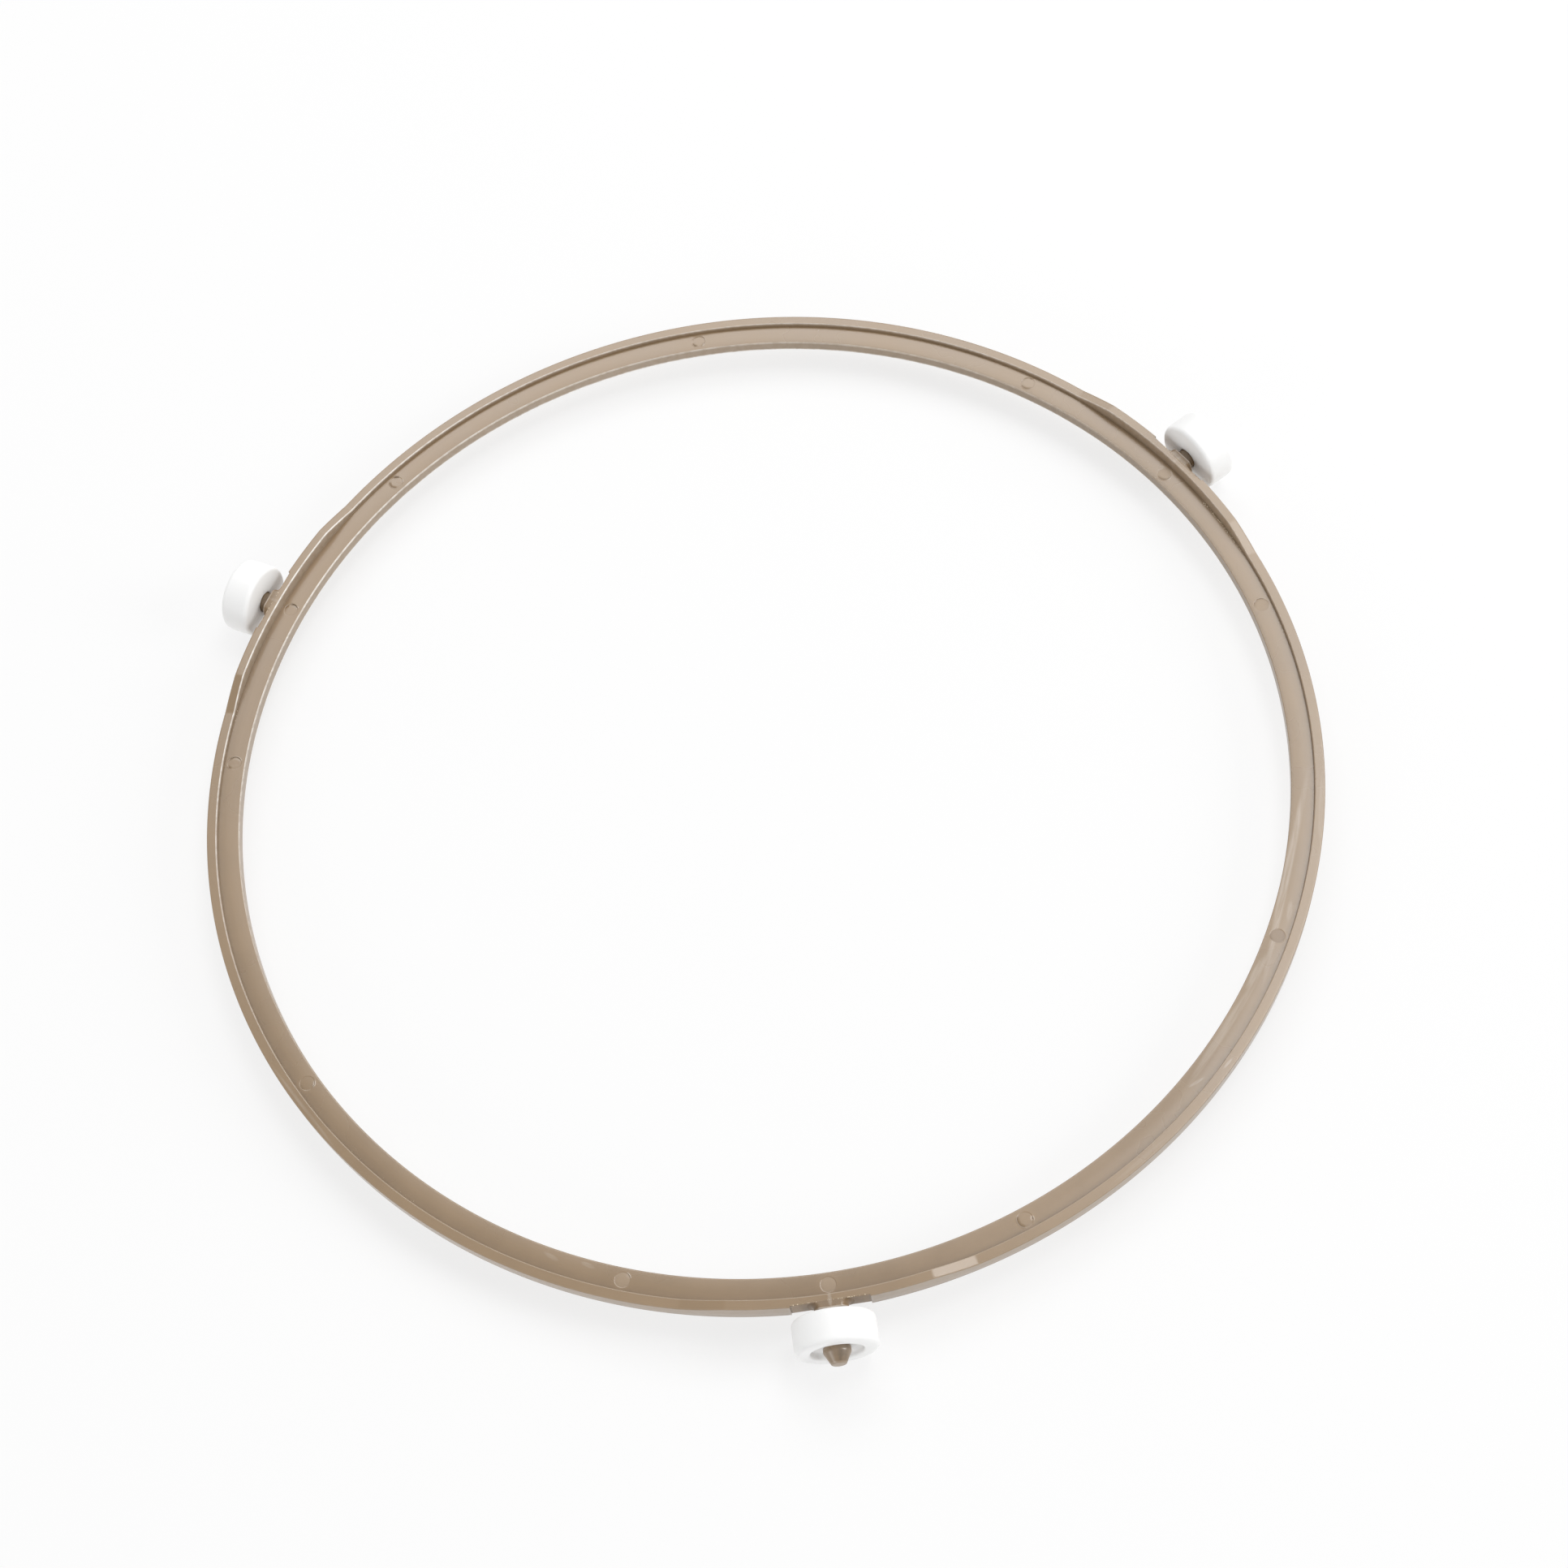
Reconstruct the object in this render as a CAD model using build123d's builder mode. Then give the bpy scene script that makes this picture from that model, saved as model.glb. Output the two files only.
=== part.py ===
from build123d import *
from math import atan2, cos, degrees, hypot, radians, sin, tan
import os

os.makedirs("parts", exist_ok=True)

# Ring section
ring_outer_radius = 102.0
ring_width = 5.85
rim_width = 1.85
base_thickness = 2.3
rim_step = 0.8
edge_chamfer = 0.25

# Raised seats in the rim, one behind each roller
roller_names = ("roller_front", "roller_right", "roller_left")
first_roller_angle = 270.0
seat_rise = 1.2
seat_half_angle = 9.8
ramp_angle = 4.25
ramp_bend = 4.0
pocket_width = 13.3
pocket_depth = 0.5

# Axle stubs with a thrust collar and a catching barb
collar_radius = 2.65
collar_length = 1.2
axle_radius = 1.95
barb_catch = 0.3
barb_land = 0.8
barb_taper = 2.0
barb_tip_radius = 1.4
barb_tip_chamfer = 0.3

# Rollers
roller_diameter = 14.0
roller_width = 5.7
roller_edge_chamfer = 0.6
recess_radius = 4.4
recess_depth = 1.1

# Running clearances of a roller on its axle
bore_clearance = 0.08
collar_play = 1.2
barb_play = 0.3

# Round ejector marks in the base
mark_diameter = 2.75
mark_depth = 0.1
mark_spread = 20.0

# Reach of a cutting shape past the faces that it cuts
cut_margin = 1.0

# Heights above the surface that the rollers run on
roller_radius = roller_diameter / 2
axle_height = roller_radius
seat_height = base_thickness + rim_step + seat_rise
base_bottom = axle_height - seat_height / 2
base_top = base_bottom + base_thickness
rim_top = base_top + rim_step
seat_top = rim_top + seat_rise

# Radii from the ring's axis
ring_inner_radius = ring_outer_radius - ring_width
rim_inner_radius = ring_outer_radius - rim_width
rim_middle_radius = ring_outer_radius - rim_width / 2
mark_radius = (rim_inner_radius + ring_inner_radius + edge_chamfer) / 2
pocket_radius = ring_outer_radius - pocket_depth
collar_end = pocket_radius + collar_length
roller_inner_face = collar_end + collar_play
roller_outer_face = roller_inner_face + roller_width
recess_floor = roller_outer_face - recess_depth
barb_shoulder = recess_floor + barb_play
barb_wide_end = barb_shoulder + barb_land
barb_tip = barb_wide_end + barb_taper

# Radii from an axle's axis
bore_radius = axle_radius + bore_clearance
barb_radius = bore_radius + barb_catch

# Angles round the ring
roller_spacing = 360 / len(roller_names)
roller_angles = [first_roller_angle + roller_spacing * i for i in range(len(roller_names))]
ramp_foot_angle = seat_half_angle + ramp_angle
ramp_reach = rim_middle_radius * tan(radians(ramp_angle / 2))
ramp_slope = degrees(atan2(seat_rise, 2 * ramp_reach))
low_rim_angle = ramp_foot_angle + degrees(cut_margin / rim_middle_radius)
mark_offsets = (0, mark_spread, -mark_spread, roller_spacing / 2)


def outward(angle):
    """Level direction away from the ring's axis."""
    return Vector(cos(radians(angle)), sin(radians(angle)), 0)


def section_plane(angle):
    """Upright plane through the ring's axis: x runs outward, y runs up."""
    return Plane(origin=(0, 0, 0), x_dir=outward(angle), z_dir=outward(angle - 90))


def wall_plane(angle, radius):
    """Upright plane across a radius of the ring: x runs along the rim, y runs up."""
    return Plane(origin=outward(angle) * radius, x_dir=outward(angle + 90), z_dir=outward(angle))


def axle_axis(angle):
    """Axis of the axle stub at an angle round the ring."""
    return Axis((0, 0, axle_height), outward(angle))


def is_rim_edge(edge):
    """True for the inner edge of the rim's top, on the rim, the ramps and the seats."""
    middle = edge @ 0.5
    on_wall = abs(hypot(middle.X, middle.Y) - rim_inner_radius) < rim_width / 10
    return on_wall and middle.Z > (base_top + rim_top * 3) / 4


def is_base_edge(edge):
    """True for the inner edges of the base, above and below."""
    middle = edge @ 0.5
    on_wall = abs(hypot(middle.X, middle.Y) - ring_inner_radius) < rim_width / 10
    return on_wall and abs(middle.Z - (base_bottom + base_top) / 2) > base_thickness / 4


with BuildPart() as ring:
    # Flat base and a rim that stands at seat height all the way round
    with BuildSketch(Plane.XZ):
        with BuildLine():
            Polyline(
                (ring_inner_radius, base_bottom),
                (ring_outer_radius, base_bottom),
                (ring_outer_radius, seat_top),
                (rim_inner_radius, seat_top),
                (rim_inner_radius, base_top),
                (ring_inner_radius, base_top),
                close=True,
            )
        make_face()
    revolve(axis=Axis.Z)

    # Rim lowered between the seats, with a sloping ramp at each end of a seat
    for angle in roller_angles:
        with BuildSketch(section_plane(angle + low_rim_angle)):
            with Locations((rim_middle_radius, rim_top)):
                Rectangle(
                    rim_width + 2 * cut_margin,
                    seat_rise + cut_margin,
                    align=(Align.CENTER, Align.MIN),
                )
        revolve(
            axis=Axis.Z,
            revolution_arc=roller_spacing - 2 * low_rim_angle,
            mode=Mode.SUBTRACT,
        )
        for side in (-1, 1):
            ramp_middle = angle + side * (seat_half_angle + ramp_angle / 2)
            bend_end = side * (ramp_reach + ramp_bend * tan(radians(ramp_slope / 2)))
            past_foot = bend_end + side * cut_margin
            bend_turn = -side * ramp_slope
            with BuildSketch(wall_plane(ramp_middle, rim_inner_radius - cut_margin)):
                with BuildLine():
                    high_bend = JernArc((-bend_end, seat_top), (side, 0), ramp_bend, bend_turn)
                    low_bend = JernArc((bend_end, rim_top), (-side, 0), ramp_bend, bend_turn)
                    Line(high_bend @ 1, low_bend @ 1)
                    Polyline(
                        low_bend @ 0,
                        (past_foot, rim_top),
                        (past_foot, seat_top + cut_margin),
                        (-bend_end, seat_top + cut_margin),
                        high_bend @ 0,
                    )
                make_face()
            extrude(amount=rim_width + 2 * cut_margin, mode=Mode.SUBTRACT)

    # Broken edges along the inside of the rim and of the base
    chamfer(ring.edges().filter_by(is_rim_edge), edge_chamfer)
    chamfer(ring.edges().filter_by(is_base_edge), edge_chamfer)

    # Flat pocket in the outer wall, then the axle stub that stands in it
    for angle in roller_angles:
        with BuildSketch(wall_plane(angle, pocket_radius)):
            with Locations((0, axle_height)):
                Rectangle(pocket_width, seat_height + 2 * cut_margin)
        extrude(amount=pocket_depth + cut_margin, mode=Mode.SUBTRACT)
        with BuildSketch(section_plane(angle)):
            with BuildLine():
                Polyline(
                    (rim_middle_radius, axle_height),
                    (rim_middle_radius, axle_height + axle_radius),
                    (pocket_radius, axle_height + axle_radius),
                    (pocket_radius, axle_height + collar_radius),
                    (collar_end, axle_height + collar_radius),
                    (collar_end, axle_height + axle_radius),
                    (barb_shoulder, axle_height + axle_radius),
                    (barb_shoulder, axle_height + barb_radius),
                    (barb_wide_end, axle_height + barb_radius),
                    (barb_tip - barb_tip_chamfer, axle_height + barb_tip_radius),
                    (barb_tip, axle_height + barb_tip_radius - barb_tip_chamfer),
                    (barb_tip, axle_height),
                    close=True,
                )
            make_face()
        revolve(axis=axle_axis(angle))

        # Collar cut level with the seat and with the underside
        for level, reach in ((seat_top, Align.MIN), (base_bottom, Align.MAX)):
            with BuildSketch(section_plane(angle)):
                with Locations((collar_end, level)):
                    Rectangle(rim_width, collar_radius, align=(Align.MAX, reach))
            extrude(amount=collar_radius, both=True, mode=Mode.SUBTRACT)

    # Shallow ejector marks at the seats, beside them and halfway between them
    for offset in mark_offsets:
        with BuildSketch(Plane.XY.offset(base_top)):
            with PolarLocations(mark_radius, len(roller_names), first_roller_angle + offset):
                Circle(mark_diameter / 2)
        extrude(amount=-mark_depth, mode=Mode.SUBTRACT)

ring.part.label = "ring"
export_step(ring.part, "parts/ring.step")

# One roller on each axle, bored through and recessed round the barb
for name, angle in zip(roller_names, roller_angles):
    with BuildPart() as roller:
        with BuildSketch(section_plane(angle)) as profile:
            with BuildLine():
                Polyline(
                    (roller_inner_face, axle_height + bore_radius),
                    (roller_inner_face, axle_height + roller_radius),
                    (roller_outer_face, axle_height + roller_radius),
                    (roller_outer_face, axle_height + recess_radius),
                    (recess_floor, axle_height + recess_radius),
                    (recess_floor, axle_height + bore_radius),
                    close=True,
                )
            make_face()
            chamfer(profile.vertices().sort_by(Axis.Y)[-2:], roller_edge_chamfer)
        revolve(axis=axle_axis(angle))
    roller.part.label = name
    export_step(roller.part, f"parts/{name}.step")
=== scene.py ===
import math
import random

import bmesh
import bpy
from mathutils import Matrix, Vector


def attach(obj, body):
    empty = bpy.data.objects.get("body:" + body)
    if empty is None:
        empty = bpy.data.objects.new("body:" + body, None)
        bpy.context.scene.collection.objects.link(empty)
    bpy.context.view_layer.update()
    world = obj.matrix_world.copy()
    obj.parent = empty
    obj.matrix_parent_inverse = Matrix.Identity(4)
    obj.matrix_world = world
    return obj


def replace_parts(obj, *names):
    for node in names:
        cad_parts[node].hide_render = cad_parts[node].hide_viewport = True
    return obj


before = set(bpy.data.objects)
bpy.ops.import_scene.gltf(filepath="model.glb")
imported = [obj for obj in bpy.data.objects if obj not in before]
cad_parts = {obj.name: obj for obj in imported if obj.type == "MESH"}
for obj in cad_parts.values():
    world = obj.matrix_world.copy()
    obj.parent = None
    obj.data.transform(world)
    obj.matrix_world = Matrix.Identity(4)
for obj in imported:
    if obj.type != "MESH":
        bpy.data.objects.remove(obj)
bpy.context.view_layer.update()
random.seed(4)

MM = 0.001

# Driving sizes of the ring, in millimetres and degrees
RING_OUTER = 102.0
RING_WIDTH = 5.85
RIM_WIDTH = 1.85
BASE_THICKNESS = 2.3
RIM_STEP = 0.8
SEAT_RISE = 1.2
SEAT_END = 9.8
RAMP_ANGLE = 4.25
RAMP_BEND = 4.0
POCKET_DEPTH = 0.5
POCKET_HALF = 6.65
MARK_R = 1.375
MARK_DEPTH = 0.07
MARK_SHIFT = 0.125

# Driving sizes of the axle stubs and the rollers
COLLAR_R = 2.9
COLLAR_LENGTH = 1.2
AXLE_R = 1.95
BARB_CATCH = 0.3
BARB_LAND = 0.8
BARB_TAPER = 2.0
BARB_TIP_R = 1.4
ROLLER_R = 7.0
ROLLER_WIDTH = 5.7
RECESS_R = 4.4
RECESS_DEPTH = 1.1
BORE_PLAY = 0.08
COLLAR_PLAY = 1.2
BARB_PLAY = 0.3

# Angles of the rollers round the ring
FRONT_ANGLE = 270
SPACING = 120
ROLLER_NAMES = ("roller_front", "roller_right", "roller_left")
ROLLERS = {name: (FRONT_ANGLE + SPACING * i) % 360 for i, name in enumerate(ROLLER_NAMES)}

# Heights above the floor
AXLE_HEIGHT = ROLLER_R
BASE_BOTTOM = AXLE_HEIGHT - (BASE_THICKNESS + RIM_STEP + SEAT_RISE) / 2
BASE_TOP = BASE_BOTTOM + BASE_THICKNESS
RIM_TOP = BASE_TOP + RIM_STEP
SEAT_TOP = RIM_TOP + SEAT_RISE

# Radii from the ring's axis
RIM_INNER = RING_OUTER - RIM_WIDTH
RIM_MIDDLE = RING_OUTER - RIM_WIDTH / 2
BASE_INNER = RING_OUTER - RING_WIDTH
MARK_AT = (RIM_INNER + BASE_INNER) / 2 + MARK_SHIFT
POCKET_FLAT = RING_OUTER - POCKET_DEPTH
COLLAR_END = POCKET_FLAT + COLLAR_LENGTH
ROLLER_IN = COLLAR_END + COLLAR_PLAY
ROLLER_OUT = ROLLER_IN + ROLLER_WIDTH
RECESS_FLOOR = ROLLER_OUT - RECESS_DEPTH
BARB_SHOULDER = RECESS_FLOOR + BARB_PLAY
BARB_WIDE = BARB_SHOULDER + BARB_LAND
BARB_TIP = BARB_WIDE + BARB_TAPER

# Radii from an axle's axis
BORE_R = AXLE_R + BORE_PLAY
BARB_R = BORE_R + BARB_CATCH

# Material slots of the ring
BODY, DISC, FLASH, DULL, POCKET = range(5)

# Finishes of a point: its shares of a lighter tone (wear, and painted sheen and highlights), of a darker tone
# (grime, and mostly painted shade) and of a pale tone (chalky flash, and painted highlights)
# The second and third finishes here are painted shade, for the collar's foot and for the axle in the gap
# before the roller
PLAIN, HALF_SHADED, SHADED, CHALKY = (0, 0, 0), (0, 0.4, 0), (0, 1, 0), (0, 0, 1)


def rounded(corners):
    """Outline through corners (x, y, reach, steps, ...), each rounded off over its reach along both sides."""
    outline = []
    for i, (x, y, reach, steps) in enumerate([c[:4] for c in corners]):
        corner = Vector((x, y))
        if not reach:
            outline.append(corner)
            continue
        before = Vector(corners[i - 1][:2]) - corner
        after = Vector(corners[(i + 1) % len(corners)][:2]) - corner
        start = corner + before.normalized() * reach
        end = corner + after.normalized() * reach
        for s in range(steps + 1):
            t = s / steps
            outline.append(start * (1 - t) ** 2 + corner * 2 * t * (1 - t) + end * t**2)
    return outline


def finishes(corners):
    """Finish at each point of an outline, from the corners' fifth entries."""
    return [c[4] if len(c) > 4 else PLAIN for c in corners for _ in range(c[3] + 1)]


def polar(radius, degrees, height):
    """Place at a radius and an angle from the ring's axis."""
    a = math.radians(degrees)
    return Vector((radius * math.cos(a), radius * math.sin(a), height))


def from_roller(degrees):
    """Signed angle from the nearest roller, in degrees."""
    return (degrees - FRONT_ANGLE + SPACING / 2) % SPACING - SPACING / 2


def beside_axle(degrees):
    """Distance from the nearest axle along the wall of its pocket."""
    return abs(math.tan(math.radians(from_roller(degrees)))) * POCKET_FLAT


# Mesh in the making
MERGE = 1e-7  # metres within which two points become one
ON_AXLE = 1e-6  # radius below which a turned point lies on the axle
SHARP_ANGLE = 38
LEVEL_RISE = 0.1  # steepness from which a turned point can reach the level cuts


class Shell:
    """Points and faces of a mesh in the making, in millimetres."""

    def __init__(self):
        self.points, self.finish, self.faces, self.slots = [], [], [], []

    def point(self, place, finish=PLAIN):
        self.points.append(place)
        self.finish.append(finish)
        return len(self.points) - 1

    def face(self, corners, slot=BODY):
        self.faces.append(corners)
        self.slots.append(slot)

    def lathe(self, corners, degrees, steps, closed, levels=None, level_end=0):
        """Turns rounded corners of (radius from the ring's axis, radius from the axle) about a roller's axle.

        Where levels are given, the shape is cut off at these two heights, as far out as level_end.
        """
        along = polar(1, degrees, 0)
        side = polar(1, degrees + 90, 0)
        rows = []
        for (x, r), finish in zip(rounded(corners), finishes(corners)):
            centre = along * x + Vector((0, 0, AXLE_HEIGHT))
            if r < ON_AXLE:
                rows.append([self.point(centre)] * steps)
                continue
            rows.append([])
            for s in range(steps):
                a = 2 * math.pi * s / steps
                rise = math.sin(a)
                reach = r
                if levels and x <= level_end and abs(rise) > LEVEL_RISE:
                    reach = min(r, (levels[rise > 0] - AXLE_HEIGHT) / rise)
                place = centre + (side * math.cos(a) + Vector((0, 0, rise))) * reach
                rows[-1].append(self.point(place, finish(a) if callable(finish) else finish))
        following = rows[1:] + rows[:1] if closed else rows[1:]
        for near, far in zip(rows, following):
            for s in range(steps):
                t = (s + 1) % steps
                loop = [near[s], near[t], far[t], far[s]]
                self.face([c for i, c in enumerate(loop) if c not in loop[:i]])

    def make(self, name, materials):
        """Object with the points that its faces use, and each point's finish."""
        used = sorted({i for f in self.faces for i in f})
        place = {old: new for new, old in enumerate(used)}
        mesh = bpy.data.meshes.new(name)
        mesh.from_pydata([self.points[i] * MM for i in used], [], [[place[i] for i in f] for f in self.faces])
        for m in materials:
            mesh.materials.append(m)
        mesh.polygons.foreach_set("material_index", self.slots)
        layer = mesh.attributes.new("finish", "FLOAT_COLOR", "POINT")
        layer.data.foreach_set("color", [v for i in used for v in (*self.finish[i], 1)])
        joined = bmesh.new()
        joined.from_mesh(mesh)
        bmesh.ops.remove_doubles(joined, verts=joined.verts, dist=MERGE)
        joined.to_mesh(mesh)
        joined.free()
        mesh.shade_smooth()
        mesh.set_sharp_from_angle(angle=math.radians(SHARP_ANGLE))
        piece = bpy.data.objects.new(name, mesh)
        bpy.context.scene.collection.objects.link(piece)
        return piece


class Painter:
    """The nodes of a material or a world, with short ways to add to them."""

    def __init__(self, owner, shader="Principled BSDF"):
        owner.use_nodes = True
        self.owner = owner
        self.tree = owner.node_tree
        self.shader = self.tree.nodes[shader]

    def put(self, socket, value):
        if isinstance(value, bpy.types.NodeSocket):
            self.tree.links.new(value, socket)
        else:
            socket.default_value = value

    def set(self, name, value):
        self.put(self.shader.inputs[name], value)

    def node(self, kind, *values, **settings):
        made = self.tree.nodes.new(kind)
        for key, value in settings.items():
            setattr(made, key, value)
        for socket, value in zip(made.inputs, values):
            self.put(socket, value)
        return made

    def math(self, operation, a, b=0.0):
        return self.node("ShaderNodeMath", a, b, operation=operation).outputs[0]

    def plus(self, a, b):
        return self.math("ADD", a, b)

    def minus(self, a, b):
        return self.math("SUBTRACT", a, b)

    def times(self, a, b):
        return self.math("MULTIPLY", a, b)

    def length(self, x, y):
        return self.math("SQRT", self.plus(self.times(x, x), self.times(y, y)))

    def step(self, value, low, high, to_low=0.0, to_high=1.0):
        ends = (low, high, to_low, to_high)
        return self.node("ShaderNodeMapRange", value, *ends, interpolation_type="SMOOTHSTEP").outputs[0]

    def noise(self, vector, scale, detail=3.0, rough=0.55):
        made = self.node("ShaderNodeTexNoise")
        settings = {"Vector": vector, "Scale": scale, "Detail": detail, "Roughness": rough}
        for name, value in settings.items():
            self.put(made.inputs[name], value)
        return made.outputs["Fac"]

    def mix(self, share, a, b):
        made = self.node("ShaderNodeMix", data_type="RGBA")
        for name, value in (("Factor_Float", share), ("A_Color", a), ("B_Color", b)):
            self.put(next(i for i in made.inputs if i.identifier == name), value)
        return next(o for o in made.outputs if o.identifier == "Result_Color")

    def bump(self, height, strength, distance):
        made = self.node("ShaderNodeBump")
        for name, value in (("Strength", strength), ("Distance", distance), ("Height", height)):
            self.put(made.inputs[name], value)
        return made.outputs[0]


# Top of the base: its points from the rim inward, and where and how strongly it starts to fall away
BASE_STEPS = 10
BASE_START, BASE_END = RIM_INNER - 0.05, BASE_INNER + 0.26
CROWN_START, CROWN = RIM_INNER - 1.25, 0.02

# Lighter and darker tones round the ring, from wear and pale flash and from painted shade, sheen and
# highlights: a level all round, then patches of (share, angle, sharpness)
# Painted sheen on the outer wall at the front
OUTSIDE_SHEEN = (0, (0.3, 290, 1))
# The rim's inner edge: light wear all round, and painted highlights on the left and at the far right
RIM_EDGE_WEAR_AND_HIGHLIGHT = (0.15, (0.45, 120, 1))
RIM_EDGE_HIGHLIGHT = (0, (0.9, 145, 3), (0.3, 55, 4))
# Painted sheen on the rim's inner wall, strongest on the left and some on the right
WALL_SHEEN = (0.2, (0.5, 143, 2), (0.3, 35, 2))
# Painted shade in the corner under the rim's inner wall, and on the base fading away from the rim and over
# the front
CORNER_SHADE = (0.4, (0.45, 335, 2), (0.3, 230, 1))
RIM_SIDE_SHADE = (0, (0.3, 222, 1), (0.1, 0, 1))
FRONT_SHADE = (0, (0.14, 283, 4))
# A dark line along the base's inner edge, on the right
INNER_LINE = (0, (0.45, 25, 2))
BASE_EDGE_WEAR = (0.1, (0.2, 120, 1))
# Painted highlights on the base's inner edge, on the left and at the back
BASE_EDGE_HIGHLIGHT = (0, (0.65, 148, 3), (0.3, 75, 2))
# The base's inner wall: lighter all round, but darker towards the right
INSIDE_LIGHTENING = (0.4, (-0.4, 10, 1))
INSIDE_DARKENING = (0, (0.5, 10, 1))
UNDER_WEAR = 0.3
UNDER_FLASH = (0, (0.8, 90, 2))
OUTER_EDGE = (0.15, 0, 0)

# Painted shade in a pocket: its share on the two sides of the axle, where it starts to thin and over what
# distance
POCKET_SHADE_AFTER, POCKET_SHADE_BEFORE = 0.6, 0.3
POCKET_SHADE_START, POCKET_SHADE_FADE = 2.6, 3.6
# Painted highlight on the edges of the steps at a pocket's ends: its share and its reach
STEP_HIGHLIGHT, STEP_REACH = 0.8, 0.1

# Painted shade on the base: its shares at the first points from the rim, and the points over which the shade
# fades
LINE_SHARES = (0.8, 0.3, 0.05)
RIM_SHADE_STEPS = 5


def spread(degrees, level, *patches):
    """Share at an angle round the ring. A patch fades to nothing a quarter turn away from its own angle."""
    for share, middle, sharpness in patches:
        level += share * max(0, math.cos(math.radians(degrees - middle))) ** sharpness
    return min(1, level)


def pocket_shade(degrees):
    """Painted shade on the pocket's wall, darkest beside the collar."""
    beside = beside_axle(degrees)
    if beside >= POCKET_HALF:
        return 0
    most = POCKET_SHADE_AFTER if from_roller(degrees) > 0 else POCKET_SHADE_BEFORE
    return most * max(0, 1 - max(0, beside - POCKET_SHADE_START) / POCKET_SHADE_FADE)


def step_highlight(degrees):
    """Painted highlight on the edges of the steps at a pocket's two ends."""
    return STEP_HIGHLIGHT if abs(beside_axle(degrees) - POCKET_HALF) < STEP_REACH else 0


def base_darkening(degrees, step):
    """Darkening of the base: painted shade in a narrow line along the rim and fading away from it, a dark
    line at its inner edge, and painted shade over the front.
    """
    line = spread(degrees, *CORNER_SHADE) * (LINE_SHARES[step] if step < len(LINE_SHARES) else 0)
    inner_line = spread(degrees, *INNER_LINE) * (step == BASE_STEPS)
    rim_shade = spread(degrees, *RIM_SIDE_SHADE) * max(0, 1 - step / RIM_SHADE_STEPS)
    return max(line, inner_line, rim_shade, spread(degrees, *FRONT_SHADE))


def rim_height(degrees):
    """Top of the rim: low between the rollers, high at the seats, with a straight ramp between."""
    reach = RIM_MIDDLE * math.tan(math.radians(RAMP_ANGLE / 2))
    slope = math.atan2(SEAT_TOP - RIM_TOP, 2 * reach)
    bend = RAMP_BEND * math.tan(slope / 2)
    x = RIM_MIDDLE * math.sin(math.radians(abs(from_roller(degrees)) - SEAT_END - RAMP_ANGLE / 2))
    if x <= -reach - bend:
        return SEAT_TOP
    if x < -reach + bend * math.cos(slope):
        return SEAT_TOP - RAMP_BEND + math.sqrt(RAMP_BEND**2 - (x + reach + bend) ** 2)
    if x <= reach - bend * math.cos(slope):
        return SEAT_TOP - (x + reach) * math.tan(slope)
    if x < reach + bend:
        return RIM_TOP + RAMP_BEND - math.sqrt(RAMP_BEND**2 - (x - reach - bend) ** 2)
    return RIM_TOP


def outer_radius(degrees):
    """Outside of the rim: round, with a flat pocket behind each roller."""
    if beside_axle(degrees) < POCKET_HALF:
        return POCKET_FLAT / math.cos(math.radians(from_roller(degrees)))
    return RING_OUTER


# Rounds of the ring's section
UNDER_ROUND, OUTER_ROUND, RIM_ROUND, FOOT_ROUND, INNER_ROUND = 0.12, 0.10, 0.18, 0.03, 0.2

# Lean of the rim's inner wall, as a share of its height, and how far the wall is in below the rim's edge
WALL_LEAN = 0.08
EDGE_LEAN = 0.35 * WALL_LEAN

# Points beside the rounds that keep the flats flat and end the bands of finish
NEAR, FAR = 0.3, 0.6
OUTER_BAND, INNER_BAND, UNDER_BAND, CHALK_BAND = 0.25, 0.24, 0.5, 0.25
TOP_GAP, WALL_GAP = 0.04, 0.03
UNDER_RADII = (BASE_INNER + 0.5, 98.0, 100.0)
# Shares of the wall's painted sheen and of the corner's painted shade at the foot of the wall
WALL_FOOT_SHEEN, WALL_FOOT_SHADE = 0.7, 0.3


def base_height(radius):
    """Top of the base, which falls away a little towards its inner edge."""
    return BASE_TOP - CROWN * max(0, CROWN_START - radius) ** 2


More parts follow.
